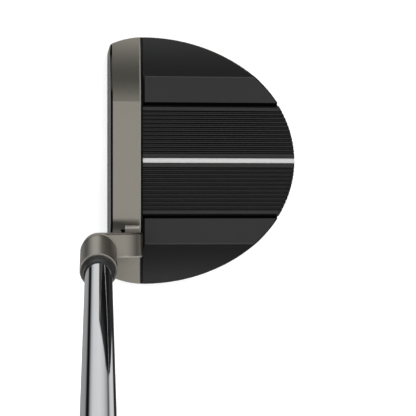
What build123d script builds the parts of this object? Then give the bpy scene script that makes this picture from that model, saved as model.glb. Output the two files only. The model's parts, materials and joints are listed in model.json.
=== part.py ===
from build123d import *
import os
from math import cos, radians, sin, tan

# A right-handed mallet putter, in millimetres.
# +Z is up and the flat sole rests on Z = 0.  The face looks towards -X, the toe is +Y and the heel, where the
# shaft leans towards the player, is -Y.  The origin is the middle of the sole.

# ---------------------------------------------------------------- driving dimensions
HEAD_LENGTH = 94.6          # heel to toe
BAR_TOP = 25.4              # height of the top line
LOFT = 3.0                  # face tilt, degrees
LIE = 70.0                  # shaft angle to the ground, degrees
CLUB_LENGTH = 889.0         # along the shaft axis, ground to the end of the cap (35 inches)

# Plan outline of the whole head: half an ellipse behind, two shallow shoulders and a straight front.
OVAL_X = -22.0              # centre of the rear ellipse
OVAL_DEPTH = 57.9           # its half axis along X
OVAL_HALF = HEAD_LENGTH / 2
FRONT_X = -36.2             # straight front of the plan outline
FRONT_HALF = 43.9           # half length of that front before its corners are rounded
CORNER_R = 3.5
SOLE_ROUND = 4.0            # rounding of the lower edge

# The split between the steel frame and the aluminium body.
FRAME_REAR = -23.56
BODY_FRONT = -22.65
FACE_TOP_X = -35.0          # where the face meets the top line chamfer
FACE_TOP_Z = 24.7
FRONT_CHAMFER = 0.85
REAR_CHAMFER = 0.45

# Top surfaces, as heights over |Y|.
CREASE_Y = 22.2             # end of the flat top line
SCOOP_Y = 32.0              # where the scooped wings start
WING_TOP = 23.2
SCOOP_LOW = 20.5            # height of the scoop at the toe and heel ends
HEEL_MID_Y = 28.6           # the frame drops faster on the heel side
HEEL_MID_Z = 22.9
HEEL_SHELF_Y = 35.0
CHANNEL_TOP = 21.8
SLOT_IN, SLOT_OUT = 21.15, 22.2     # narrow V-shaped slot along each side of the channel
SLOT_FLOOR = 18.9
LAND_CHAMFER = 0.7
BODY_CHAMFER = 0.5
WING_FRONT_CHAMFER = 0.7
MARGIN = 60.0               # half size of cutting shapes that reach past the head

# Fine ribs in the channel.
GROOVE_COUNT = 11           # on each side of the alignment line
GROOVE_PITCH = 1.54
GROOVE_FIRST = 3.15
GROOVE_TOP_W = 1.14
GROOVE_DEPTH = 1.1
GROOVE_WALL_ANGLE = 68.0    # slope of the groove walls, degrees

# Alignment line.
LINE_HALF = 0.87
LINE_SLOT_HALF = 1.1
LINE_FLOOR = 20.4
LINE_TOP = 21.7
LINE_DISH = 0.2

# Neck: a post that bends forwards into an arm and carries the hosel.
NECK_Y = -31.6
NECK_HALF = 4.5
NECK_ROOT = 14.0
POST_FRONT = -29.6
ARM_TOP = 53.4
ARM_BOTTOM = 45.6
ARM_BEND = 7.0
ARM_INNER_BEND = 3.0
PAD_HALF = 6.8              # foot of the neck: a low pad, then a second step up to the post
PAD_HEEL = 4.7
PAD_FRONT = -29.5
PAD_ROOT = 16.0
PAD_LOW, PAD_HIGH = 24.75, 24.9
STEP_HALF = 5.4
STEP_LOW, STEP_HIGH = 25.15, 25.35
NOTCH_FRONT = -31.2         # relief under the arm, in front of the foot
NOTCH_TOE_Y, NOTCH_HEEL_Y = -26.3, -33.0
NOTCH_LOW, NOTCH_HIGH = 21.4, 24.3
NECK_ROUND = 0.8

# Shaft line and hosel.  Stations are measured along the shaft axis from the ground.
SHAFT_X = -39.5
SHAFT_GROUND_Y = -14.2
HOSEL_R = 6.5
HOSEL_MOUTH = 75.0
HOSEL_BASE = 57.2
BOSS_R = 6.2
BOSS_Y = -33.3
BOSS_TOP = 55.6
BOSS_ROUND = 1.2
BORE_R = 4.85
BORE_FLOOR = 55.0
MOUTH_SEAT_R = 5.75
MOUTH_SEAT_DEPTH = 1.0
MOUTH_CHAMFER = 0.3
SHAFT_TIP_R = 4.7
SHAFT_BUTT_R = 7.3
SHAFT_WALL = 0.6
SHAFT_START = 55.6
SHAFT_TAPER_START = 84.0
SHAFT_END = 882.0
FERRULE_TOP = 78.4
FERRULE_TOP_R = 5.1
FERRULE_GROOVE = 76.2       # station of the ring groove
FERRULE_GROOVE_R = 5.2
FERRULE_GROOVE_W = 0.4
FERRULE_CONE_R = 5.5
PLUG_LENGTH = 7.0

# Grip: station along the shaft, half width, height of the flat thumb side, depth of the round back.
GRIP_STATIONS = (
    (620.0, 9.4, 8.6, 9.4),
    (660.0, 10.3, 9.0, 10.4),
    (740.0, 11.6, 9.8, 12.0),
    (800.0, 12.6, 10.4, 14.0),
    (850.0, 13.4, 10.9, 17.6),
    (882.0, 13.2, 10.8, 17.2),
)
GRIP_START = 620.0
GRIP_SECTION_STEP = 30      # angle between the points of the section, degrees
GRIP_FLATNESS = 0.6         # below 1 the thumb side is flatter than an ellipse
GRIP_SKIN_T = 1.5
GRIP_LIP = 2.0
TAPE_T = 0.15
SPIGOT_R = 6.3
SPIGOT_HOLLOW_R = 4.8
SPIGOT_LENGTH = 8.0
VENT_R = 1.5
CAP_ROUND = 2.0

# Face insert.
INSERT_LENGTH = 80.0
INSERT_HEIGHT = 14.2
INSERT_Z = 11.6
INSERT_FRONT_T = 2.2
INSERT_BACK_T = 2.4
INSERT_TAPE_T = 0.3
INSERT_GAP = 0.1
FACE_LINE_PITCH = 1.3
FACE_LINE_COUNT = 9
FACE_LINE_W = 0.45
FACE_LINE_DEPTH = 0.25

# Underside of the body.
PLATE_DEPTH_R, PLATE_HALF = 46.0, 30.4
PLATE_T = 1.5
POCKET_DEPTH_R, POCKET_HALF = 42.5, 27.2
POCKET_FRONT = -12.0
POCKET_TOP = 17.6
SCREW_BOSS_R = 3.4
TONGUE_REAR = -13.2
TONGUE_HALF = 22.0
TONGUE_LOW, TONGUE_TOP = 1.6, 5.6
TONGUE_OVERLAP = 2.0
GASKET_LOW, GASKET_TOP = 5.9, 19.8
FIT = 0.1                   # assembly clearance
HOLE_SPARE = 0.4            # depth of a tapped hole past the end of its screw
SINK_ANGLE = 90.0           # countersinks, degrees
NEAR = 0.01                 # distance under which two positions count as the same
STEEP = 0.7                 # upward share of an edge's direction above which it counts as upright

# Hardware.
FRAME_SCREW_X = -18.2
FRAME_SCREW_YS = (-18.0, -6.0, 6.0, 18.0)
FRAME_SCREW_R, FRAME_SCREW_HEAD_R = 2.0, 3.6
FRAME_SCREW_LENGTH = 11.3
PLATE_SCREW_AT = ((-8.4, 25.4), (14.6, 14.6))
PLATE_SCREW_R, PLATE_SCREW_HEAD_R = 1.25, 2.2
PLATE_SCREW_LENGTH = 7.8
SCREW_SUNK = 0.1
SOCKET_RATIO = 0.8          # hexagon socket against the shank
SINK_SPARE = 0.2
PIN_Y, PIN_Z, PIN_R = 38.5, 11.0, 1.5
PIN_FRONT, PIN_REAR = -28.5, -18.5
PIN_CHAMFER = 0.3
WEIGHT_X, WEIGHT_Y = -13.0, 36.2
WEIGHT_HEAD_R, WEIGHT_HEAD_T = 5.5, 2.4
WEIGHT_SHANK_R, WEIGHT_LENGTH = 4.0, 9.4
WEIGHT_SUNK = 0.15
WEIGHT_CHAMFER = 0.2
WEIGHT_SOCKET_R, WEIGHT_SOCKET_DEPTH = 2.4, 3.0
WASHER_T = 0.6

os.makedirs("parts", exist_ok=True)


def write(part, name):
    """Label a finished part and write it as one STEP file."""
    part.label = name
    export_step(part, f"parts/{name}.step")


# ---------------------------------------------------------------- shared planes and outlines
LEAN = radians(90 - LIE)
AXIS_DIR = Vector(0, -sin(LEAN), cos(LEAN))
GROUND_POINT = Vector(SHAFT_X, SHAFT_GROUND_Y, 0)
SHAFT_AXIS = Axis(GROUND_POINT, AXIS_DIR)
# Local x is the radius from the shaft axis, local y the station along it.
SHAFT_SECTION = Plane(GROUND_POINT, x_dir=(1, 0, 0), z_dir=(0, -cos(LEAN), -sin(LEAN)))


def across_shaft(station):
    """Plane square to the shaft; its local y points up and towards the toe."""
    return Plane(GROUND_POINT + AXIS_DIR * station, x_dir=(1, 0, 0), z_dir=AXIS_DIR)


def shaft_radius(station):
    """Outer radius of the tapered shaft."""
    along = max(0, station - SHAFT_TAPER_START) / (SHAFT_END - SHAFT_TAPER_START)
    return SHAFT_TIP_R + (SHAFT_BUTT_R - SHAFT_TIP_R) * along


def facing_down(x, y, z):
    """Plane that looks down, for holes drilled upwards from the sole."""
    return Plane((x, y, z), x_dir=(1, 0, 0), z_dir=(0, 0, -1))


plate_screw_points = [(x, side * y) for x, y in PLATE_SCREW_AT for side in (-1, 1)]
LOFT_A = radians(LOFT)
INSERT_X = FACE_TOP_X - (FACE_TOP_Z - INSERT_Z) * tan(LOFT_A)
# Local x runs towards the heel, local y up the face, local z out of the face.
FACE_PLANE = Plane((INSERT_X, 0, INSERT_Z), x_dir=(0, -1, 0), z_dir=(-cos(LOFT_A), 0, sin(LOFT_A)))
FRAME_REAR_PLANE = Plane.YZ.offset(FRAME_REAR)
BODY_FRONT_PLANE = Plane.YZ.offset(BODY_FRONT)

with BuildSketch() as head_outline:
    with BuildLine():
        EllipticalCenterArc((OVAL_X, 0), OVAL_DEPTH, OVAL_HALF, start_angle=-90, arc_size=180)
        TangentArc((OVAL_X, OVAL_HALF), (FRONT_X, FRONT_HALF), tangent=(-1, 0))
        Line((FRONT_X, FRONT_HALF), (FRONT_X, -FRONT_HALF))
        TangentArc((OVAL_X, -OVAL_HALF), (FRONT_X, -FRONT_HALF), tangent=(-1, 0))
    make_face()
    fillet(head_outline.vertices().group_by(Axis.X)[0], CORNER_R)

# The head before it is divided: the outline with its lower edge rounded.
with BuildPart() as head_blank:
    add(head_outline.sketch)
    extrude(amount=BAR_TOP)
    fillet(head_blank.edges().group_by(Axis.Z)[0], SOLE_ROUND)


def half_oval(depth, half):
    """Half ellipse behind the joint line, for the sole plate and the pocket above it."""
    with BuildSketch() as sketch:
        with BuildLine():
            EllipticalCenterArc((OVAL_X, 0), depth, half, start_angle=-90, arc_size=180)
            Line((OVAL_X, half), (OVAL_X, -half))
        make_face()
    return sketch.sketch


def on_outline(edge):
    """True for an upper edge of the rear body that lies on the plan outline."""
    middle = edge @ 0.5
    upright = abs((edge % 0.5).Z) > STEEP
    reach = (OVAL_DEPTH * middle.Y / OVAL_HALF) ** 2 + (middle.X - OVAL_X) ** 2
    return middle.Z > SLOT_FLOOR and not upright and reach > (OVAL_DEPTH - NEAR) ** 2


def on_wing_front(edge):
    """True for a top edge of a wing along the joint with the frame."""
    middle = edge @ 0.5
    upright = abs((edge % 0.5).Z) > STEEP
    at_joint = abs(middle.X - BODY_FRONT) < NEAR
    return at_joint and middle.Z > CHANNEL_TOP and abs(middle.Y) > SLOT_OUT and not upright


# ---------------------------------------------------------------- steel front frame with neck and hosel
with BuildPart() as front_frame:
    add(head_blank.part)
    split(bisect_by=FRAME_REAR_PLANE, keep=Keep.BOTTOM)
    split(bisect_by=FACE_PLANE, keep=Keep.BOTTOM)
    # Everything above the top line and its two shoulders is removed.
    with BuildSketch(FRAME_REAR_PLANE):
        with BuildLine():
            Line((MARGIN, SCOOP_LOW), (OVAL_HALF, SCOOP_LOW))
            scoop = TangentArc((OVAL_HALF, SCOOP_LOW), (SCOOP_Y, WING_TOP), tangent=(-1, 0))
            TangentArc((SCOOP_Y, WING_TOP), (CREASE_Y, BAR_TOP), tangent=scoop % 1)
            Line((CREASE_Y, BAR_TOP), (-CREASE_Y, BAR_TOP))
            shelf = TangentArc((-HEEL_SHELF_Y, SCOOP_LOW), (-HEEL_MID_Y, HEEL_MID_Z), tangent=(1, 0))
            TangentArc((-HEEL_MID_Y, HEEL_MID_Z), (-CREASE_Y, BAR_TOP), tangent=shelf % 1)
            Line((-HEEL_SHELF_Y, SCOOP_LOW), (-MARGIN, SCOOP_LOW))
            Polyline((-MARGIN, SCOOP_LOW), (-MARGIN, MARGIN), (MARGIN, MARGIN), (MARGIN, SCOOP_LOW))
        make_face()
    extrude(amount=-MARGIN, mode=Mode.SUBTRACT)
    upper = front_frame.edges().filter_by(lambda edge: (edge @ 0.5).Z > SCOOP_LOW - NEAR)
    chamfer(upper.filter_by(lambda edge: abs((edge @ 0.5).X - FRAME_REAR) < NEAR), REAR_CHAMFER)
    upper = front_frame.edges().filter_by(lambda edge: (edge @ 0.5).Z > SCOOP_LOW - NEAR)
    on_face = upper.filter_by(lambda edge: abs(FACE_PLANE.to_local_coords(edge @ 0.5).Z) < NEAR)
    chamfer(on_face, FRONT_CHAMFER)
    # Pocket for the insert, milled square to the face.
    with BuildSketch(FACE_PLANE):
        SlotOverall(INSERT_LENGTH + 2 * INSERT_GAP, INSERT_HEIGHT + 2 * INSERT_GAP)
    extrude(amount=-(INSERT_FRONT_T + INSERT_BACK_T + INSERT_TAPE_T), mode=Mode.SUBTRACT)
    # Tongue that the body is screwed to.
    with BuildSketch(Plane.XY.offset(TONGUE_LOW)):
        with Locations(((FRAME_REAR - TONGUE_OVERLAP + TONGUE_REAR) / 2, 0)):
            Rectangle(TONGUE_REAR - FRAME_REAR + TONGUE_OVERLAP, 2 * TONGUE_HALF)
    extrude(amount=TONGUE_TOP - TONGUE_LOW)
    with Locations([facing_down(FRAME_SCREW_X, y, TONGUE_LOW) for y in FRAME_SCREW_YS]):
        CounterSinkHole(
            radius=FRAME_SCREW_R + FIT,
            counter_sink_radius=FRAME_SCREW_HEAD_R + SINK_SPARE,
            depth=TONGUE_TOP - TONGUE_LOW,
            counter_sink_angle=SINK_ANGLE,
        )
    with BuildSketch(FRAME_REAR_PLANE):
        with Locations((PIN_Y, PIN_Z), (-PIN_Y, PIN_Z)):
            Circle(PIN_R + FIT)
    extrude(amount=PIN_FRONT - FIT - FRAME_REAR, mode=Mode.SUBTRACT)
    # Stepped foot of the neck, and the sloping relief in front of it.
    with BuildSketch(Plane.YZ.offset(PAD_FRONT)):
        with BuildLine():
            Polyline(
                (NECK_Y + PAD_HALF, PAD_ROOT),
                (NECK_Y + PAD_HALF, PAD_LOW),
                (NECK_Y + STEP_HALF, PAD_HIGH),
                (NECK_Y + STEP_HALF, STEP_LOW),
                (NECK_Y + NECK_HALF, STEP_HIGH),
                (NECK_Y, STEP_HIGH),
                (NECK_Y - PAD_HEEL, PAD_LOW),
                (NECK_Y - PAD_HEEL, PAD_ROOT),
                close=True,
            )
        make_face()
    extrude(amount=FRAME_REAR - REAR_CHAMFER - PAD_FRONT)
    with BuildSketch(Plane.XZ.offset(-NOTCH_TOE_Y)):
        with BuildLine():
            Polyline(
                (NOTCH_FRONT, BAR_TOP),
                (NOTCH_FRONT, NOTCH_HIGH),
                (PAD_FRONT, NOTCH_LOW),
                (PAD_FRONT, BAR_TOP),
                close=True,
            )
        make_face()
    extrude(amount=NOTCH_TOE_Y - NOTCH_HEEL_Y, mode=Mode.SUBTRACT)
    # Post and arm of the crank neck.
    with BuildSketch(Plane.XZ.offset(-NECK_Y)):
        with BuildLine():
            bend_x = FRAME_REAR - ARM_BEND
            inner_x = POST_FRONT - ARM_INNER_BEND
            Line((POST_FRONT, NECK_ROOT), (POST_FRONT, ARM_BOTTOM - ARM_INNER_BEND))
            RadiusArc((POST_FRONT, ARM_BOTTOM - ARM_INNER_BEND), (inner_x, ARM_BOTTOM), ARM_INNER_BEND)
            Polyline((inner_x, ARM_BOTTOM), (SHAFT_X, ARM_BOTTOM), (SHAFT_X, ARM_TOP), (bend_x, ARM_TOP))
            RadiusArc((bend_x, ARM_TOP), (FRAME_REAR, ARM_TOP - ARM_BEND), ARM_BEND)
            Polyline((FRAME_REAR, ARM_TOP - ARM_BEND), (FRAME_REAR, NECK_ROOT), (POST_FRONT, NECK_ROOT))
        make_face()
    extrude(amount=NECK_HALF, both=True)
    sides = front_frame.edges().filter_by(lambda edge: abs(abs((edge @ 0.5).Y - NECK_Y) - NECK_HALF) < NEAR)
    sides = sides.filter_by(lambda edge: (edge @ 0.5).Z > STEP_HIGH + NEAR)
    fillet(sides.filter_by(lambda edge: (edge @ 0.5).X > SHAFT_X + NEAR), NECK_ROUND)
    # Boss under the hosel, then the hosel along the shaft axis.
    with BuildSketch(Plane.XZ.offset(-BOSS_Y)):
        with BuildLine():
            Polyline(
                (SHAFT_X + BOSS_R - BOSS_ROUND, ARM_BOTTOM),
                (SHAFT_X, ARM_BOTTOM),
                (SHAFT_X, BOSS_TOP),
                (SHAFT_X + BOSS_R, BOSS_TOP),
                (SHAFT_X + BOSS_R, ARM_BOTTOM + BOSS_ROUND),
            )
            RadiusArc(
                (SHAFT_X + BOSS_R, ARM_BOTTOM + BOSS_ROUND),
                (SHAFT_X + BOSS_R - BOSS_ROUND, ARM_BOTTOM),
                BOSS_ROUND,
            )
        make_face()
    revolve(axis=Axis((SHAFT_X, BOSS_Y, 0), (0, 0, 1)))
    with BuildSketch(across_shaft(HOSEL_BASE)):
        Circle(HOSEL_R)
    extrude(amount=HOSEL_MOUTH - HOSEL_BASE)
    with BuildSketch(across_shaft(HOSEL_MOUTH)):
        Circle(BORE_R)
    extrude(amount=BORE_FLOOR - HOSEL_MOUTH, mode=Mode.SUBTRACT)
    with BuildSketch(across_shaft(HOSEL_MOUTH)):
        Circle(MOUTH_SEAT_R)
    extrude(amount=-MOUTH_SEAT_DEPTH, mode=Mode.SUBTRACT)
    mouth_rims = front_frame.edges().filter_by(GeomType.CIRCLE).sort_by(SHAFT_AXIS)[-2:]
    chamfer(mouth_rims.sort_by(SortBy.RADIUS)[-1], MOUTH_CHAMFER)
write(front_frame.part, "front_frame")

# ---------------------------------------------------------------- face insert, its backer and its tape
with BuildPart() as face_insert:
    with BuildSketch(FACE_PLANE):
        SlotOverall(INSERT_LENGTH, INSERT_HEIGHT)
    extrude(amount=-INSERT_FRONT_T)
    with BuildSketch(FACE_PLANE):
        with GridLocations(0, FACE_LINE_PITCH, 1, FACE_LINE_COUNT):
            Rectangle(INSERT_LENGTH, FACE_LINE_W)
    extrude(amount=-FACE_LINE_DEPTH, mode=Mode.SUBTRACT)
write(face_insert.part, "face_insert")

with BuildPart() as insert_backer:
    with BuildSketch(FACE_PLANE.offset(-INSERT_FRONT_T)):
        SlotOverall(INSERT_LENGTH, INSERT_HEIGHT)
    extrude(amount=-INSERT_BACK_T)
write(insert_backer.part, "insert_backer")

with BuildPart() as insert_tape:
    with BuildSketch(FACE_PLANE.offset(-INSERT_FRONT_T - INSERT_BACK_T)):
        SlotOverall(INSERT_LENGTH, INSERT_HEIGHT)
    extrude(amount=-INSERT_TAPE_T)
write(insert_tape.part, "insert_tape")

# ---------------------------------------------------------------- black aluminium body
with BuildPart() as rear_body:
    add(head_blank.part)
    split(bisect_by=BODY_FRONT_PLANE, keep=Keep.TOP)
    # Flat wings, scooped towards the outline, with the channel sunk between them.
    with BuildSketch(BODY_FRONT_PLANE):
        with BuildLine():
            Polyline((0, 0), (MARGIN, 0), (MARGIN, SCOOP_LOW), (OVAL_HALF, SCOOP_LOW))
            TangentArc((OVAL_HALF, SCOOP_LOW), (SCOOP_Y, WING_TOP), tangent=(-1, 0))
            Polyline((SCOOP_Y, WING_TOP), (SLOT_OUT, WING_TOP), (SLOT_OUT, CHANNEL_TOP), (0, CHANNEL_TOP))
            mirror(about=Plane.YZ)
        make_face()
    extrude(amount=2 * MARGIN, mode=Mode.INTERSECT)
    chamfer(rear_body.edges().filter_by(on_outline), BODY_CHAMFER)
    chamfer(rear_body.edges().filter_by(on_wing_front), WING_FRONT_CHAMFER)
    # Narrow V-shaped slot along each side of the channel, beside the chamfered edge of the land.
    with BuildSketch(BODY_FRONT_PLANE):
        with BuildLine():
            Polyline(
                (SLOT_IN - LAND_CHAMFER, CHANNEL_TOP),
                (SLOT_IN, CHANNEL_TOP - LAND_CHAMFER),
                ((SLOT_IN + SLOT_OUT) / 2, SLOT_FLOOR),
                (SLOT_OUT, CHANNEL_TOP),
                close=True,
            )
        make_face()
        mirror(about=Plane.YZ)
    extrude(amount=2 * MARGIN, mode=Mode.SUBTRACT)
    # Ribbed floor of the channel.
    with BuildSketch(BODY_FRONT_PLANE):
        for k in range(GROOVE_COUNT):
            side = GROOVE_FIRST + k * GROOVE_PITCH
            level = CHANNEL_TOP - GROOVE_DEPTH / 2
            with Locations((side, level), (-side, level)):
                Trapezoid(GROOVE_TOP_W, GROOVE_DEPTH, GROOVE_WALL_ANGLE, rotation=180)
    extrude(amount=2 * MARGIN, mode=Mode.SUBTRACT)
    # Slot for the alignment line.
    with BuildSketch(BODY_FRONT_PLANE):
        with Locations((0, (LINE_FLOOR + WING_TOP) / 2)):
            Rectangle(2 * LINE_SLOT_HALF, WING_TOP - LINE_FLOOR)
    extrude(amount=2 * MARGIN, mode=Mode.SUBTRACT)
    # Underside: recess for the sole plate, weight-saving pocket, relief over the tongue.
    add(half_oval(PLATE_DEPTH_R + FIT, PLATE_HALF + FIT))
    extrude(amount=PLATE_T, mode=Mode.SUBTRACT)
    with BuildSketch():
        add(half_oval(POCKET_DEPTH_R, POCKET_HALF))
        split(bisect_by=Plane.YZ.offset(POCKET_FRONT), keep=Keep.TOP)
        with Locations(plate_screw_points):
            Circle(SCREW_BOSS_R, mode=Mode.SUBTRACT)
    extrude(amount=POCKET_TOP, mode=Mode.SUBTRACT)
    with BuildSketch():
        with Locations(((BODY_FRONT + TONGUE_REAR + FIT) / 2, 0)):
            Rectangle(TONGUE_REAR + FIT - BODY_FRONT, 2 * (TONGUE_HALF + FIT))
    extrude(amount=TONGUE_TOP + FIT, mode=Mode.SUBTRACT)
    # Tapped holes for the frame screws and the plate screws, and blind holes for the pins.
    with BuildSketch():
        with Locations([(FRAME_SCREW_X, y) for y in FRAME_SCREW_YS]):
            Circle(FRAME_SCREW_R + FIT / 2)
    extrude(amount=TONGUE_LOW + FRAME_SCREW_LENGTH + HOLE_SPARE, mode=Mode.SUBTRACT)
    with BuildSketch():
        with Locations(plate_screw_points):
            Circle(PLATE_SCREW_R + FIT / 2)
    extrude(amount=PLATE_SCREW_LENGTH + HOLE_SPARE, mode=Mode.SUBTRACT)
    with BuildSketch(BODY_FRONT_PLANE):
        with Locations((PIN_Y, PIN_Z), (-PIN_Y, PIN_Z)):
            Circle(PIN_R + FIT)
    extrude(amount=PIN_REAR + FIT - BODY_FRONT, mode=Mode.SUBTRACT)
    # Seats for the two screw-in weights.
    with Locations([facing_down(WEIGHT_X, side * WEIGHT_Y, 0) for side in (-1, 1)]):
        CounterBoreHole(
            radius=WEIGHT_SHANK_R + FIT,
            counter_bore_radius=WEIGHT_HEAD_R + FIT,
            counter_bore_depth=WEIGHT_SUNK + WEIGHT_HEAD_T + WASHER_T,
            depth=WEIGHT_LENGTH + WEIGHT_SUNK + FIT,
        )
write(rear_body.part, "rear_body")

# ---------------------------------------------------------------- white alignment line with a dished top
with BuildPart() as alignment_line:
    add(head_blank.part)
    split(bisect_by=BODY_FRONT_PLANE, keep=Keep.TOP)
    with BuildSketch(BODY_FRONT_PLANE):
        with BuildLine():
            Polyline(
                (-LINE_HALF, LINE_TOP),
                (-LINE_HALF, LINE_FLOOR),
                (LINE_HALF, LINE_FLOOR),
                (LINE_HALF, LINE_TOP),
            )
            ThreePointArc((LINE_HALF, LINE_TOP), (0, LINE_TOP - LINE_DISH), (-LINE_HALF, LINE_TOP))
        make_face()
    extrude(amount=2 * MARGIN, mode=Mode.INTERSECT)
write(alignment_line.part, "alignment_line")

# ---------------------------------------------------------------- thin gasket between the two metals
with BuildPart() as joint_gasket:
    add(head_outline.sketch)
    extrude(amount=BAR_TOP)
    with BuildSketch(FRAME_REAR_PLANE):
        with Locations((0, (GASKET_LOW + GASKET_TOP) / 2)):
            Rectangle(2 * MARGIN, GASKET_TOP - GASKET_LOW)
        with Locations((PIN_Y, PIN_Z), (-PIN_Y, PIN_Z)):
            Circle(PIN_R + FIT, mode=Mode.SUBTRACT)
    extrude(amount=BODY_FRONT - FRAME_REAR, mode=Mode.INTERSECT)
write(joint_gasket.part, "joint_gasket")

# ---------------------------------------------------------------- fasteners, pins, sole plate and weights


def flat_screw(shank_r, head_r, length):
    """Countersunk socket screw that points up, with the flat of its head on the XY plane."""
    with BuildPart() as screw:
        with BuildSketch(Plane.XZ):
            with BuildLine():
                Polyline(
                    (0, 0),
                    (head_r, 0),
                    (shank_r, head_r - shank_r),
                    (shank_r, length),
                    (0, length),
                    close=True,
                )
            make_face()
        revolve(axis=Axis.Z)
        with BuildSketch():
            RegularPolygon(shank_r * SOCKET_RATIO, side_count=6)
        extrude(amount=shank_r, mode=Mode.SUBTRACT)
    return screw.part


frame_screw = flat_screw(FRAME_SCREW_R, FRAME_SCREW_HEAD_R, FRAME_SCREW_LENGTH)
with BuildPart() as frame_screws:
    with Locations([(FRAME_SCREW_X, y, TONGUE_LOW + SCREW_SUNK) for y in FRAME_SCREW_YS]):
        add(frame_screw)
write(frame_screws.part, "frame_screws")

plate_screw = flat_screw(PLATE_SCREW_R, PLATE_SCREW_HEAD_R, PLATE_SCREW_LENGTH)
with BuildPart() as sole_plate_screws:
    with Locations([(x, y, SCREW_SUNK) for x, y in plate_screw_points]):
        add(plate_screw)
write(sole_plate_screws.part, "sole_plate_screws")

with BuildPart() as locating_pins:
    with BuildSketch(Plane.YZ.offset(PIN_FRONT)):
        with Locations((PIN_Y, PIN_Z), (-PIN_Y, PIN_Z)):
            Circle(PIN_R)
    extrude(amount=PIN_REAR - PIN_FRONT)
    chamfer(locating_pins.edges(), PIN_CHAMFER)
write(locating_pins.part, "locating_pins")

with BuildPart() as sole_plate:
    add(half_oval(PLATE_DEPTH_R, PLATE_HALF))
    extrude(amount=PLATE_T)
    with Locations([facing_down(x, y, 0) for x, y in plate_screw_points]):
        CounterSinkHole(
            radius=PLATE_SCREW_R + FIT,
            counter_sink_radius=PLATE_SCREW_HEAD_R + SINK_SPARE,
            depth=PLATE_T,
            counter_sink_angle=SINK_ANGLE,
        )
write(sole_plate.part, "sole_plate")


def weight_at(y):
    """Screw-in weight with a flanged head and a hexagon socket, at one end of the body."""
    with BuildPart() as weight:
        with BuildSketch(Plane.XY.offset(WEIGHT_SUNK)):
            with Locations((WEIGHT_X, y)):
                Circle(WEIGHT_HEAD_R)
        extrude(amount=WEIGHT_HEAD_T)
        chamfer(weight.edges().group_by(Axis.Z)[0], WEIGHT_CHAMFER)
        with BuildSketch(Plane.XY.offset(WEIGHT_SUNK + WEIGHT_HEAD_T)):
            with Locations((WEIGHT_X, y)):
                Circle(WEIGHT_SHANK_R)
        extrude(amount=WEIGHT_LENGTH - WEIGHT_HEAD_T)
        with BuildSketch(Plane.XY.offset(WEIGHT_SUNK)):
            with Locations((WEIGHT_X, y)):
                RegularPolygon(WEIGHT_SOCKET_R, side_count=6)
        extrude(amount=WEIGHT_SOCKET_DEPTH, mode=Mode.SUBTRACT)
    return weight.part


with BuildPart() as toe_weight:
    add(weight_at(WEIGHT_Y))
write(toe_weight.part, "toe_weight")

with BuildPart() as heel_weight:
    add(weight_at(-WEIGHT_Y))
write(heel_weight.part, "heel_weight")

with BuildPart() as weight_washers:
    with BuildSketch(Plane.XY.offset(WEIGHT_SUNK + WEIGHT_HEAD_T)):
        with Locations((WEIGHT_X, WEIGHT_Y), (WEIGHT_X, -WEIGHT_Y)):
            Circle(WEIGHT_HEAD_R)
            Circle(WEIGHT_SHANK_R + FIT, mode=Mode.SUBTRACT)
    extrude(amount=WASHER_T)
write(weight_washers.part, "weight_washers")

# ---------------------------------------------------------------- shaft, its plug, glue line and ferrule
with BuildPart() as shaft:
    with BuildSketch(SHAFT_SECTION):
        with BuildLine():
            Polyline(
                (SHAFT_TIP_R - SHAFT_WALL, SHAFT_START),
                (SHAFT_TIP_R, SHAFT_START),
                (SHAFT_TIP_R, SHAFT_TAPER_START),
                (SHAFT_BUTT_R, SHAFT_END),
                (SHAFT_BUTT_R - SHAFT_WALL, SHAFT_END),
                (SHAFT_TIP_R - SHAFT_WALL, SHAFT_TAPER_START),
                close=True,
            )
        make_face()
    revolve(axis=SHAFT_AXIS)
write(shaft.part, "shaft")

with BuildPart() as shaft_tip_plug:
    with BuildSketch(across_shaft(SHAFT_START)):
        Circle(SHAFT_TIP_R - SHAFT_WALL - FIT / 2)
    extrude(amount=PLUG_LENGTH)
write(shaft_tip_plug.part, "shaft_tip_plug")

with BuildPart() as epoxy_sleeve:
    with BuildSketch(across_shaft(BORE_FLOOR)):
        Circle(BORE_R)
        Circle(SHAFT_TIP_R, mode=Mode.SUBTRACT)
    extrude(amount=HOSEL_MOUTH - MOUTH_SEAT_DEPTH - BORE_FLOOR)
write(epoxy_sleeve.part, "epoxy_sleeve")

with BuildPart() as ferrule:
    with BuildSketch(SHAFT_SECTION):
        with BuildLine():
            Polyline(
                (SHAFT_TIP_R + FIT / 2, HOSEL_MOUTH - MOUTH_SEAT_DEPTH),
                (MOUTH_SEAT_R - FIT, HOSEL_MOUTH - MOUTH_SEAT_DEPTH),
                (MOUTH_SEAT_R - FIT, FERRULE_GROOVE),
                (FERRULE_GROOVE_R, FERRULE_GROOVE),
                (FERRULE_GROOVE_R, FERRULE_GROOVE + FERRULE_GROOVE_W),
                (FERRULE_CONE_R, FERRULE_GROOVE + FERRULE_GROOVE_W),
                (FERRULE_TOP_R, FERRULE_TOP),
                (SHAFT_TIP_R + FIT / 2, FERRULE_TOP),
                close=True,
            )
        make_face()
    revolve(axis=SHAFT_AXIS)
write(ferrule.part, "ferrule")

# ---------------------------------------------------------------- grip


def grip_section(half_width, flat, back):
    """D-shaped section: nearly flat on the thumb side, round at the back."""
    points = []
    for angle in range(0, 360, GRIP_SECTION_STEP):
        across = cos(radians(angle))
        up = sin(radians(angle))
        height = flat * up**GRIP_FLATNESS if up > 0 else back * up
        points.append((half_width * across, height))
    with BuildSketch() as sketch:
        with BuildLine():
            Spline(*points, periodic=True)
        make_face()
    return sketch.sketch


def grip_body(inset):
    """Smooth body of the grip, drawn in on every side by the inset."""
    with BuildPart() as body:
        for station, half_width, flat, back in GRIP_STATIONS:
            with BuildSketch(across_shaft(station)):
                add(grip_section(half_width - inset, flat - inset, back - inset))
        loft()
    return body.part


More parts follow.
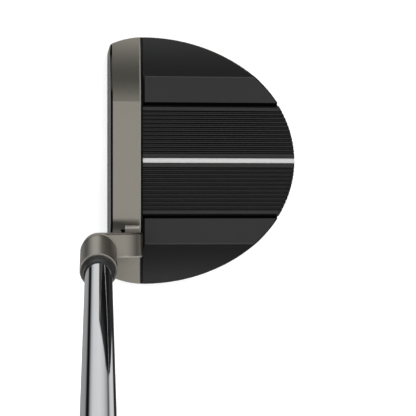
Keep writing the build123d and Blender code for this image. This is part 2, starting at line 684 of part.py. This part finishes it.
def shaft_core(thickness):
    """The space of the tapered shaft under the grip, widened by a thickness."""
    low, high = GRIP_START - GRIP_LIP, SHAFT_END + GRIP_LIP
    with BuildPart() as core:
        with BuildSketch(SHAFT_SECTION):
            with BuildLine():
                Polyline(
                    (0, low),
                    (shaft_radius(low) + thickness, low),
                    (shaft_radius(high) + thickness, high),
                    (0, high),
                    close=True,
                )
            make_face()
        revolve(axis=SHAFT_AXIS)
    return core.part


LOWER_LIP_PLANE = across_shaft(GRIP_START + GRIP_LIP)

with BuildPart() as grip_tape:
    add(shaft_core(TAPE_T))
    add(shaft_core(0), mode=Mode.SUBTRACT)
    split(bisect_by=LOWER_LIP_PLANE, keep=Keep.TOP)
    split(bisect_by=across_shaft(SHAFT_END), keep=Keep.BOTTOM)
write(grip_tape.part, "grip_tape")

with BuildPart() as grip_core:
    add(grip_body(GRIP_SKIN_T))
    add(shaft_core(TAPE_T), mode=Mode.SUBTRACT)
    split(bisect_by=LOWER_LIP_PLANE, keep=Keep.TOP)
write(grip_core.part, "grip_core")

# The space inside the skin: the foam core with the shaft in it.
with BuildPart() as grip_inside:
    add(grip_body(GRIP_SKIN_T))
    split(bisect_by=LOWER_LIP_PLANE, keep=Keep.TOP)
    add(shaft_core(TAPE_T))

with BuildPart() as grip_skin:
    add(grip_body(0))
    add(grip_inside.part, mode=Mode.SUBTRACT)
write(grip_skin.part, "grip_skin")

with BuildPart() as grip_cap:
    with BuildSketch(across_shaft(SHAFT_END)):
        add(grip_section(*GRIP_STATIONS[-1][1:]))
    extrude(amount=CLUB_LENGTH - SHAFT_END)
    fillet(grip_cap.edges().sort_by(SHAFT_AXIS)[-1], CAP_ROUND)
    with BuildSketch(across_shaft(SHAFT_END)):
        Circle(SPIGOT_R)
        Circle(SPIGOT_HOLLOW_R, mode=Mode.SUBTRACT)
    extrude(amount=-SPIGOT_LENGTH)
    with BuildSketch(across_shaft(CLUB_LENGTH)):
        Circle(VENT_R)
    extrude(amount=SHAFT_END - CLUB_LENGTH, mode=Mode.SUBTRACT)
write(grip_cap.part, "grip_cap")
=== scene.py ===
import json
import math

import bmesh
import bpy
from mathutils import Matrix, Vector
from mathutils.bvhtree import BVHTree


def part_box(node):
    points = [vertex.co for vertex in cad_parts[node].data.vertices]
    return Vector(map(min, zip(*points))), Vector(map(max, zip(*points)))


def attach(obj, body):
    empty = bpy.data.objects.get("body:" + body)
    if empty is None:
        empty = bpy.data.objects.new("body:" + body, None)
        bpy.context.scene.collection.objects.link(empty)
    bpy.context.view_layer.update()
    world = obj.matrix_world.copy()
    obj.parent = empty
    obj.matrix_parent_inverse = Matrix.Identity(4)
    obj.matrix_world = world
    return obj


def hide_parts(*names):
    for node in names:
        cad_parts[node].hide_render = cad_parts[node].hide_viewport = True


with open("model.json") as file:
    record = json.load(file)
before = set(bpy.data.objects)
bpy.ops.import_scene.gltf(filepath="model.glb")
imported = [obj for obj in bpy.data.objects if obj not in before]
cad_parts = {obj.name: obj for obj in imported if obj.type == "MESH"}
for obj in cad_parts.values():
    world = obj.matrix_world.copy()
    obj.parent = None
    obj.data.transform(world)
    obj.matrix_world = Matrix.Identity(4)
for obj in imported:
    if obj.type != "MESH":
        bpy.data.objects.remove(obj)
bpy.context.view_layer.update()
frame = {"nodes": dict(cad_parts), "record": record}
nodes = frame["nodes"]
scene = bpy.context.scene

MM = 0.001

# ---------------------------------------------------------------- places read from the frame
vent = next(mount for mount in frame["record"]["mounts"] if mount["name"] == "grip_vent")
axis_up = Vector(vent["axis"])              # along the shaft, towards the player
axis_point = Vector(vent["pos_m"])
across = Vector((1, 0, 0))
thumb_side = axis_up.cross(across)
frame_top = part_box("front_frame")[1].z      # the hosel reaches highest
body_low, body_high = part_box("rear_body")
joint_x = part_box("joint_gasket")[0].x       # front of the joint between frame and body
# Top of the hosel, as a height along the shaft axis.
mouth = max(v.co.dot(axis_up) for v in nodes["front_frame"].data.vertices)

# ---------------------------------------------------------------- materials


class Nodes:
    """The node tree of a material or of the world."""

    def __init__(self, tree):
        self.tree = tree

    def new(self, kind, **props):
        node = self.tree.nodes.new(kind)
        for key, value in props.items():
            setattr(node, key, value)
        return node

    def link(self, a, b):
        self.tree.links.new(a, b)

    def math(self, operation, *terms):
        """One arithmetic node; each term is a number or another node's output."""
        node = self.new("ShaderNodeMath", operation=operation)
        for socket, term in zip(node.inputs, terms):
            if isinstance(term, (int, float)):
                socket.default_value = term
            else:
                self.link(term, socket)
        return node.outputs["Value"]


class Shader(Nodes):
    """One procedural material; its textures work in object space, in metres."""

    def __init__(self, name):
        self.mat = bpy.data.materials.new(name)
        self.mat.use_nodes = True
        super().__init__(self.mat.node_tree)
        self.bsdf = self.tree.nodes["Principled BSDF"]
        self.coord = self.new("ShaderNodeTexCoord").outputs["Object"]

    def set(self, **values):
        for key, value in values.items():
            self.bsdf.inputs[key.replace("_", " ")].default_value = value
        return self

    def scaled(self, factors):
        """Object coordinates, stretched along the axes with a small factor."""
        node = self.new("ShaderNodeMapping")
        self.link(self.coord, node.inputs["Vector"])
        node.inputs["Scale"].default_value = factors
        return node.outputs["Vector"]

    def noise(self, scale, detail=3.0, roughness=0.5, stretch=None):
        node = self.new("ShaderNodeTexNoise")
        self.link(self.scaled(stretch) if stretch else self.coord, node.inputs["Vector"])
        node.inputs["Scale"].default_value = scale
        node.inputs["Detail"].default_value = detail
        node.inputs["Roughness"].default_value = roughness
        return node.outputs["Fac"]

    def remap(self, value, low, high, to_low, to_high):
        node = self.new("ShaderNodeMapRange")
        self.link(value, node.inputs["Value"])
        limits = {"From Min": low, "From Max": high, "To Min": to_low, "To Max": to_high}
        for key, number in limits.items():
            node.inputs[key].default_value = number
        return node.outputs["Result"]

    def mix(self, fac, a, b):
        """Blend from colour a to colour b; each is a tuple or another node's output."""
        node = self.new("ShaderNodeMix", data_type="RGBA")
        self.link(fac, node.inputs["Factor"])
        for socket, value in ((node.inputs["A"], a), (node.inputs["B"], b)):
            if isinstance(value, tuple):
                socket.default_value = (*value, 1.0)
            else:
                self.link(value, socket)
        return node.outputs["Result"]

    def axis(self, which):
        """One component of the position, in object space."""
        node = self.new("ShaderNodeSeparateXYZ")
        self.link(self.coord, node.inputs["Vector"])
        return node.outputs[which]

    def normal(self):
        """The surface normal, in object space."""
        return self.new("ShaderNodeTexCoord").outputs["Normal"]

    def facing(self, which):
        """One component of the surface normal."""
        node = self.new("ShaderNodeSeparateXYZ")
        self.link(self.normal(), node.inputs["Vector"])
        return node.outputs[which]

    def dot(self, vector, direction):
        node = self.new("ShaderNodeVectorMath", operation="DOT_PRODUCT")
        self.link(vector, node.inputs[0])
        node.inputs[1].default_value = direction
        return node.outputs["Value"]

    def length(self, vector):
        node = self.new("ShaderNodeVectorMath", operation="LENGTH")
        self.link(vector, node.inputs[0])
        return node.outputs["Value"]

    def above(self, value, low, high):
        """0 below low, 1 above high."""
        return self.remap(value, low, high, 0, 1)

    def below(self, value, low, high):
        """1 below low, 0 above high."""
        return self.remap(value, low, high, 1, 0)

    def between(self, value, low, high, soft):
        """1 where the value lies between low and high, with soft edges."""
        rise = self.above(value, low - soft, low + soft)
        return self.every(rise, self.below(value, high - soft, high + soft))

    def every(self, *masks):
        """Product of masks."""
        product = masks[0]
        for mask in masks[1:]:
            product = self.math("MULTIPLY", product, mask)
        return product

    def either(self, *masks):
        """The strongest of several masks."""
        strongest = masks[0]
        for mask in masks[1:]:
            strongest = self.math("MAXIMUM", strongest, mask)
        return strongest

    def bump(self, height, strength, distance):
        node = self.new("ShaderNodeBump")
        self.link(height, node.inputs["Height"])
        node.inputs["Strength"].default_value = strength
        node.inputs["Distance"].default_value = distance
        self.link(node.outputs["Normal"], self.bsdf.inputs["Normal"])

    def colour(self, output):
        self.link(output, self.bsdf.inputs["Base Color"])

    def rough(self, output):
        self.link(output, self.bsdf.inputs["Roughness"])


GRAIN_LOW, GRAIN_HIGH = 0.3, 0.7            # range of the noise that the grain uses
METAL_RELIEF = 0.03 * MM
PLASTIC_RELIEF = 0.04 * MM
BRUSHED = (1, 0.04, 1)                      # grain stretched along Y
DRAWN = (1, 1, 0.05)                        # grain stretched along Z


def metal(name, dark, light, rough_low, rough_high, grain, stretch=None, bump=0.15):
    """Satin metal: slow tint drift, fine grain in roughness and relief."""
    s = Shader(name).set(Metallic=1.0)
    s.colour(s.mix(s.noise(60, 2), dark, light))
    fine = s.noise(grain, 4, 0.6, stretch)
    s.rough(s.remap(fine, GRAIN_LOW, GRAIN_HIGH, rough_low, rough_high))
    s.bump(fine, bump, METAL_RELIEF)
    return s.mat


def plastic(name, dark, light, rough_low, rough_high, grain, bump=0.2):
    """Moulded or coated surface with a fine even grain."""
    s = Shader(name)
    s.colour(s.mix(s.noise(90, 3), dark, light))
    fine = s.noise(grain, 3, 0.55)
    s.rough(s.remap(fine, GRAIN_LOW, GRAIN_HIGH, rough_low, rough_high))
    s.bump(fine, bump, PLASTIC_RELIEF)
    return s.mat


# The frame's finish changes at places measured from the joint, the hosel's mouth and the body's box; some
# of these changes are painted shade and painted highlights.
COATING_DARK = (0.335, 0.315, 0.275)
COATING_LIGHT = (0.355, 0.335, 0.292)
HOSEL_TINT = (0.50, 0.473, 0.418)
# Colour of the painted shade on the front chamfer of the crown.
FRONT_SHADE_BLACK = (0.012, 0.012, 0.012)
# Colour of the painted highlights on the frame.
HIGHLIGHT_STEEL = (0.36, 0.345, 0.31)
RIM_HIGHLIGHT = 0.5                              # against 1 on the other painted highlights
SCATTER = 0.8                               # how far the painted highlights scatter light instead of mirroring it
HOSEL_ROUGHER = 0.10                        # roughness added on the hosel
DIAGONAL = (0.5, 0.85)                      # normal component on a face at about 45 degrees
NORMAL_SOFT = 0.05


def frame_painted_highlights(s, on_crown, along):
    """Mask of the painted highlights on the frame: rear edge, arm edge, foot of the neck and rim of the
    mouth.
    """
    x, y, z = s.axis("X"), s.axis("Y"), s.axis("Z")
    # Painted highlight on the rear chamfer of the crown.
    rear_edge = s.every(
        on_crown,
        s.above(x, joint_x - 0.9 * MM, joint_x - 0.7 * MM),
        s.between(s.facing("X"), *DIAGONAL, NORMAL_SOFT),
    )
    # Painted highlight on the heel side of the arm.
    arm_edge = s.every(
        s.above(z, frame_top - 36.0 * MM, frame_top - 35.0 * MM),
        s.above(x, joint_x - 9.6 * MM, joint_x - 9.2 * MM),
        s.between(s.facing("Y"), -0.95, -0.12, NORMAL_SOFT),
    )
    # Painted highlight on the top of the foot of the neck.
    foot = s.every(
        s.between(z, body_high.z + 1.50 * MM, body_high.z + 1.76 * MM, 0.02 * MM),
        s.between(y, body_low.y + 21.3 * MM, body_low.y + 22.6 * MM, 0.1 * MM),
        s.above(x, joint_x - 6.0 * MM, joint_x - 5.9 * MM),
    )
    # Painted highlight on the rim of the hosel's mouth.
    rim = s.every(
        s.remap(along, mouth - 0.6 * MM, mouth - 0.5 * MM, 0, RIM_HIGHLIGHT),
        s.between(s.dot(s.normal(), axis_up), 0.5, 0.9, NORMAL_SOFT),
    )
    return s.either(rear_edge, arm_edge, foot, rim)


def coated_steel():
    """Warm grey coating over steel, with painted shade on the front edge of the crown and painted
    highlights in places.
    """
    s = Shader("frame_metal").set(Metallic=1.0)
    x = s.axis("X")
    along = s.dot(s.coord, axis_up)
    on_crown = s.between(s.axis("Z"), body_high.z - 3.0 * MM, body_high.z + 2.4 * MM, 0.05 * MM)
    # Painted shade on the front chamfer of the crown.
    front_shade = s.every(
        on_crown,
        s.below(x, joint_x - 10.0 * MM, joint_x - 9.0 * MM),
        s.between(s.facing("X"), -DIAGONAL[1], -DIAGONAL[0], NORMAL_SOFT),
    )
    on_hosel = s.every(
        s.above(along, mouth - 18 * MM, mouth - 16 * MM),
        s.below(x, joint_x - 10.2 * MM, joint_x - 9.6 * MM),
    )
    painted_highlight = frame_painted_highlights(s, on_crown, along)
    tint = s.mix(on_hosel, s.mix(s.noise(60, 2), COATING_DARK, COATING_LIGHT), HOSEL_TINT)
    # Painted shade on the front chamfer, and painted highlights in lighter, less metallic steel.
    s.colour(s.mix(painted_highlight, s.mix(front_shade, tint, FRONT_SHADE_BLACK), HIGHLIGHT_STEEL))
    s.link(s.math("MULTIPLY_ADD", painted_highlight, -SCATTER, 1.0), s.bsdf.inputs["Metallic"])
    fine = s.noise(2600, 4, 0.6)
    grain = s.remap(fine, GRAIN_LOW, GRAIN_HIGH, 0.27, 0.36)
    s.rough(s.math("MULTIPLY_ADD", on_hosel, HOSEL_ROUGHER, grain))
    s.bump(fine, 0.15, METAL_RELIEF)
    return s.mat


def anodised():
    """Bead-blasted black anodising, with a painted highlight along the creases of the wings."""
    s = Shader("body_black").set(Specular_IOR_Level=0.62)
    tint = s.mix(s.noise(90, 3), (0.0035, 0.0035, 0.0040), (0.0055, 0.0055, 0.0062))
    crease = 32.0 * MM                      # from the middle plane to the crease on each wing
    # Painted highlight along the crease of each wing, on faces that look up.
    painted_highlight = s.every(
        s.between(s.math("ABSOLUTE", s.axis("Y")), crease - 0.25 * MM, crease + 0.12 * MM, 0.10 * MM),
        s.above(s.facing("Z"), 0.9, 0.95),
        s.remap(s.noise(220, 2), 0.25, 0.45, 0.6, 1.0),
    )
    s.colour(s.mix(painted_highlight, tint, (0.022, 0.022, 0.022)))
    fine = s.noise(3400, 3, 0.55)
    s.rough(s.remap(fine, GRAIN_LOW, GRAIN_HIGH, 0.33, 0.43))
    s.bump(fine, 0.2, PLASTIC_RELIEF)
    return s.mat


# Name, darker and lighter colour, lowest and highest roughness, grain scale; then any stretch and relief.
frame_metal = coated_steel()
body_black = anodised()
line_white = plastic("line_white", (0.47, 0.47, 0.465), (0.51, 0.51, 0.505), 0.22, 0.32, 900)
gasket_black = plastic("gasket_black", (0.006, 0.006, 0.006), (0.010, 0.010, 0.010), 0.6, 0.8, 2000)
insert_grey = plastic("insert_grey", (0.115, 0.13, 0.15), (0.14, 0.155, 0.175), 0.42, 0.55, 2200)
adhesive = plastic("adhesive", (0.45, 0.42, 0.36), (0.55, 0.52, 0.46), 0.4, 0.6, 500)
plate_metal = metal("plate_metal", (0.050, 0.050, 0.054), (0.062, 0.062, 0.066), 0.30, 0.42, 900, BRUSHED)
steel = metal("steel", (0.42, 0.42, 0.43), (0.50, 0.50, 0.51), 0.24, 0.36, 1500)
dark_steel = metal("dark_steel", (0.16, 0.16, 0.165), (0.22, 0.22, 0.225), 0.30, 0.42, 1800)
washer_black = plastic("washer_black", (0.012, 0.012, 0.012), (0.02, 0.02, 0.02), 0.5, 0.65, 1200)
ferrule_grey = plastic("ferrule_grey", (0.022, 0.022, 0.023), (0.03, 0.03, 0.032), 0.24, 0.34, 1500)
foam_grey = plastic("foam_grey", (0.05, 0.05, 0.05), (0.08, 0.08, 0.08), 0.8, 0.9, 1500)
grip_black = plastic("grip_black", (0.018, 0.018, 0.019), (0.028, 0.028, 0.030), 0.48, 0.64, 1800)
cap_black = plastic("cap_black", (0.014, 0.014, 0.015), (0.022, 0.022, 0.023), 0.38, 0.52, 1400)
chrome = metal("chrome", (0.72, 0.73, 0.75), (0.76, 0.77, 0.79), 0.035, 0.07, 500, DRAWN, 0.05)

finish_of = {
    "front_frame": frame_metal,
    "rear_body": body_black,
    "alignment_line": line_white,
    "joint_gasket": gasket_black,
    "face_insert": insert_grey,
    "insert_backer": insert_grey,
    "insert_tape": adhesive,
    "sole_plate": plate_metal,
    "sole_plate_screws": dark_steel,
    "frame_screws": dark_steel,
    "locating_pins": steel,
    "toe_weight": steel,
    "heel_weight": steel,
    "weight_washers": washer_black,
    "shaft": chrome,
    "shaft_tip_plug": foam_grey,
    "epoxy_sleeve": adhesive,
    "ferrule": ferrule_grey,
    "grip_tape": adhesive,
    "grip_core": foam_grey,
    "grip_skin": grip_black,
    "grip_cap": cap_black,
}
for node_name, material in finish_of.items():
    if not nodes[node_name].material_slots:
        nodes[node_name].data.materials.append(material)
    for slot in nodes[node_name].material_slots:
        slot.material = material

# ---------------------------------------------------------------- grip with its moulded pattern
RINGS = 360                 # along the grip
SIDES = 108                 # around it
DIAMOND = 4                 # grid steps from one diagonal groove to the next
LINE_STEP = 3               # grid steps between the lines on the thumb side
COLLAR = 11                 # smooth rings at each end
BEAD = COLLAR - 4           # ring of the single groove around each collar
GROOVE = 0.30 * MM
LINE_DEPTH = 0.8            # of a line on the thumb side, against GROOVE
THUMB_FROM, THUMB_TO = 42, 138      # degrees around the section, where the flat side lies
BORDER = 5                  # degrees of smooth border beside the flat side
WALL = 1.3 * MM
LIP = 2.0 * MM              # height of the lower lip, which closes on the shaft
LIP_ROUND = ((0.0, 0.7 * MM), (0.35 * MM, 0.15 * MM))   # steps of its rounded edge: height, inset
SHAFT_GAP = 0.1 * MM
END_MARGIN = 0.3 * MM       # the section is measured at least this far inside the CAD skin
RAY_START = 50 * MM         # outside the thickest part of the grip
SMOOTHINGS = 3


def grip_groove(ring, side):
    """Depth of the moulded pattern at one point of the grid."""
    if ring < COLLAR or ring > RINGS - COLLAR:
        return GROOVE if ring in (BEAD, RINGS - BEAD) else 0.0
    angle = 360 * side / SIDES
    if THUMB_FROM < angle < THUMB_TO:
        return GROOVE * LINE_DEPTH if ring % LINE_STEP == 0 else 0.0
    if THUMB_FROM - BORDER < angle < THUMB_TO + BORDER:
        return 0.0
    on_groove = (ring + side) % DIAMOND == 0 or (ring - side) % DIAMOND == 0
    return GROOVE if on_groove else 0.0


def side_directions():
    """Unit vectors around the shaft axis, one for each side of the grid."""
    turns = [2 * math.pi * side / SIDES for side in range(SIDES)]
    return [across * math.cos(turn) + thumb_side * math.sin(turn) for turn in turns]


def from_axis(vertex):
    """Station of a vertex along the shaft axis and its distance from that axis."""
    offset = vertex.co - axis_point
    station = offset.dot(axis_up)
    return station, (offset - axis_up * station).length


def smoothed(radii):
    """Radii averaged with their neighbours along the grip, then around it."""
    along = []
    for ring, row in enumerate(radii):
        before, after = radii[max(ring - 1, 0)], radii[min(ring + 1, RINGS)]
        along.append([(a + 2 * b + c) / 4 for a, b, c in zip(before, row, after)])
    return [[(row[k - 1] + 2 * row[k] + row[(k + 1) % SIDES]) / 4 for k in range(SIDES)] for row in along]


def skin_radii(stations, outward):
    """Distance from the axis to the plain CAD skin, at each station and side."""
    skin = nodes["grip_skin"].data
    tree = BVHTree.FromPolygons([v.co for v in skin.vertices], [p.vertices for p in skin.polygons])
    radii = []
    for station in stations:
        kept = min(max(station, stations[0] + END_MARGIN), stations[-1] - END_MARGIN)
        centre = axis_point + axis_up * kept
        hits = [tree.ray_cast(centre + direction * RAY_START, -direction)[0] for direction in outward]
        radii.append([(hit - centre).length for hit in hits])
    for _ in range(SMOOTHINGS):
        radii = smoothed(radii)
    return radii


def grip_profile():
    """Closed profile of the sleeve as (station, radii) rows: up the outside, down the inside."""
    reach = [from_axis(v)[0] for v in nodes["grip_skin"].data.vertices]
    start, end = min(reach), max(reach)
    shaft = map(from_axis, nodes["shaft"].data.vertices)
    bare_radius = max(radius for station, radius in shaft if station < start)
    on_shaft = [bare_radius + SHAFT_GAP] * SIDES
    stations = [start + (end - start) * ring / RINGS for ring in range(RINGS + 1)]
    radii = skin_radii(stations, side_directions())
    profile = [(start, on_shaft)]
    for height, inset in LIP_ROUND:
        profile.append((start + height, [radius - inset for radius in radii[0]]))
    for ring in range(1, RINGS + 1):
        row = [radius - grip_groove(ring, side) for side, radius in enumerate(radii[ring])]
        profile.append((stations[ring], row))
    for ring in (RINGS, RINGS * 3 // 4, RINGS // 2, RINGS // 4, COLLAR // 3):
        profile.append((stations[ring], [radius - WALL for radius in radii[ring]]))
    profile.append((start + LIP, on_shaft))
    return profile


def grip_sleeve():
    """Closed rubber sleeve with its moulded pattern, over the foam core."""
    mesh = bmesh.new()
    outward = side_directions()
    rings = []
    for station, row in grip_profile():
        centre = axis_point + axis_up * station
        spokes = [direction * radius for direction, radius in zip(outward, row)]
        rings.append([mesh.verts.new(centre + spoke) for spoke in spokes])
    for lower, upper in zip(rings, rings[1:] + rings[:1]):
        for side in range(SIDES):
            other = (side + 1) % SIDES
            mesh.faces.new((lower[side], lower[other], upper[other], upper[side]))
    bmesh.ops.recalc_face_normals(mesh, faces=mesh.faces)
    data = bpy.data.meshes.new("grip_sleeve")
    mesh.to_mesh(data)
    mesh.free()
    data.polygons.foreach_set("use_smooth", [True] * len(data.polygons))
    data.materials.append(grip_black)
    piece = bpy.data.objects.new("grip_sleeve", data)
    scene.collection.objects.link(piece)
    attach(piece, "root")
    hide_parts("grip_skin")


grip_sleeve()

# ---------------------------------------------------------------- floor
FLOOR_HALF = 6.0
FLOOR_DROP = 0.2 * MM       # keeps the floor clear of the sole


def pale_floor():
    """Pale paper that glows a little, more so far away, where the softbox doesn't reach."""
    s = Shader("floor").set(Roughness=0.9, Specular_IOR_Level=0.0, Emission_Color=(0.93, 0.93, 0.93, 1.0))
    s.colour(s.mix(s.noise(3, 2), (0.90, 0.90, 0.90), (0.92, 0.92, 0.92)))
    glow = s.remap(s.length(s.coord), 0.8, 3.5, 0.32, 0.8)
    s.link(glow, s.bsdf.inputs["Emission Strength"])
    return s.mat


floor_mesh = bpy.data.meshes.new("floor")
corners = [(x * FLOOR_HALF, y * FLOOR_HALF, 0) for x, y in ((-1, -1), (1, -1), (1, 1), (-1, 1))]
floor_mesh.from_pydata(corners, [], [(0, 1, 2, 3)])
floor_mesh.materials.append(pale_floor())
floor = bpy.data.objects.new("floor", floor_mesh)
floor.location.z = -FLOOR_DROP
floor.visible_glossy = False
scene.collection.objects.link(floor)

# ---------------------------------------------------------------- studio light
# Light levels are (place, level) stops. A direction component of -1 to 1 is a place of 0 to 1.

# An overhead strip light along X, with darker flags towards the heel and the toe.
OVER_Y = (
    (0.0, 0.45), (0.12, 0.16), (0.2, 0.11), (0.3, 0.23), (0.37, 0.48), (0.41, 0.74), (0.45, 0.97),
    (0.5, 1.0), (0.55, 0.99), (0.59, 0.80), (0.64, 0.50), (0.74, 0.28), (0.82, 0.15), (0.87, 0.11),
    (0.92, 0.25), (1, 0.6),
)
# The same light from the face side to the back, with a dark flag before the face.
OVER_X = (
    (0, 0.62), (0.07, 0.50), (0.15, 0.06), (0.3, 0.60), (0.4, 1.0), (0.5, 1.0), (0.70, 0.91),
    (0.79, 0.81), (0.874, 0.66), (0.94, 0.47), (0.985, 0.30), (1.0, 0.18),
)
# Light and dark cards around the shaft, as one turn about it.
CARDS = (
    (0.0, 0.3), (0.10, 0.36), (0.235, 0.34), (0.268, 0.008), (0.315, 0.010), (0.35, 0.50), (0.40, 0.76),
    (0.52, 0.82), (0.60, 0.70), (0.665, 0.42), (0.699, 0.06), (0.732, 0.70), (0.80, 0.76), (0.835, 0.01),
    (0.88, 0.02), (1.0, 0.3),
)
CARDS_BELOW = ((0.20, 1.0), (0.35, 0.0))    # share of the cards: they stand below the horizon
CARDS_CENTRE_Y = 0.321      # Y component of the direction that the cards stand around
BACKDROP = (0.93, 0.93, 0.93, 1)


class Sky(Nodes):
    """World shader, built from the direction that is looked in."""

    def __init__(self, name):
        world = bpy.data.worlds.new(name)
        world.use_nodes = True
        scene.world = world
        super().__init__(world.node_tree)
        self.tree.nodes.clear()

    def place(self, component):
        """A direction component of -1 to 1, as a place of 0 to 1."""
        return self.math("MULTIPLY_ADD", component, 0.5, 0.5)

    def ramp(self, value, stops):
        """Grey level at a place of 0 to 1."""
        node = self.new("ShaderNodeValToRGB")
        self.link(value, node.inputs["Fac"])
        elements = node.color_ramp.elements
        while len(elements) < len(stops):
            elements.new(0.5)
        for element, (place, level) in zip(elements, stops):
            element.position = place
            element.color = (level, level, level, 1)
        return node.outputs["Color"]


def studio():
    """Soft overhead light with flags, cards for the chrome, and a plain pale backdrop for the camera."""
    sky = Sky("studio")
    direction = sky.new("ShaderNodeSeparateXYZ")
    sky.link(sky.new("ShaderNodeTexCoord").outputs["Generated"], direction.inputs["Vector"])
    dir_x, dir_y, dir_z = direction.outputs
    above = sky.math("MULTIPLY", sky.ramp(sky.place(dir_y), OVER_Y), sky.ramp(sky.place(dir_x), OVER_X))
    turn = sky.math("ARCTAN2", dir_x, sky.math("SUBTRACT", dir_y, CARDS_CENTRE_Y))
    cards = sky.ramp(sky.math("MULTIPLY_ADD", turn, 0.5 / math.pi, 0.5), CARDS)
    mixed = sky.new("ShaderNodeMix", data_type="FLOAT")
    sky.link(sky.ramp(sky.place(dir_z), CARDS_BELOW), mixed.inputs["Factor"])
    sky.link(above, mixed.inputs["A"])
    sky.link(cards, mixed.inputs["B"])
    light = sky.new("ShaderNodeBackground")
    sky.link(mixed.outputs["Result"], light.inputs["Color"])
    backdrop = sky.new("ShaderNodeBackground")
    backdrop.inputs["Color"].default_value = BACKDROP
    choose = sky.new("ShaderNodeMixShader")
    sky.link(sky.new("ShaderNodeLightPath").outputs["Is Camera Ray"], choose.inputs["Fac"])
    sky.link(light.outputs["Background"], choose.inputs[1])
    sky.link(backdrop.outputs["Background"], choose.inputs[2])
    sky.link(choose.outputs["Shader"], sky.new("ShaderNodeOutputWorld").inputs["Surface"])


studio()

soft_data = bpy.data.lights.new("softbox", "AREA")
soft_data.shape = "SQUARE"
soft_data.size = 2.4
soft_data.energy = 60
softbox = bpy.data.objects.new("softbox", soft_data)
softbox.location = (0, -0.1, 2.2)
softbox.visible_glossy = False
softbox.visible_camera = False
scene.collection.objects.link(softbox)

# ---------------------------------------------------------------- camera, straight above the face
camera_data = bpy.data.cameras.new("camera")
camera_data.sensor_width = 36
camera_data.lens = 108.2
camera_data.clip_start = 0.01
camera = bpy.data.objects.new("camera", camera_data)
camera.location = (-0.0391, -0.0182, 0.500)
camera.rotation_euler = (0, -math.radians(4.95), 0)
scene.collection.objects.link(camera)
scene.camera = camera
scene.view_settings.view_transform = "Standard"
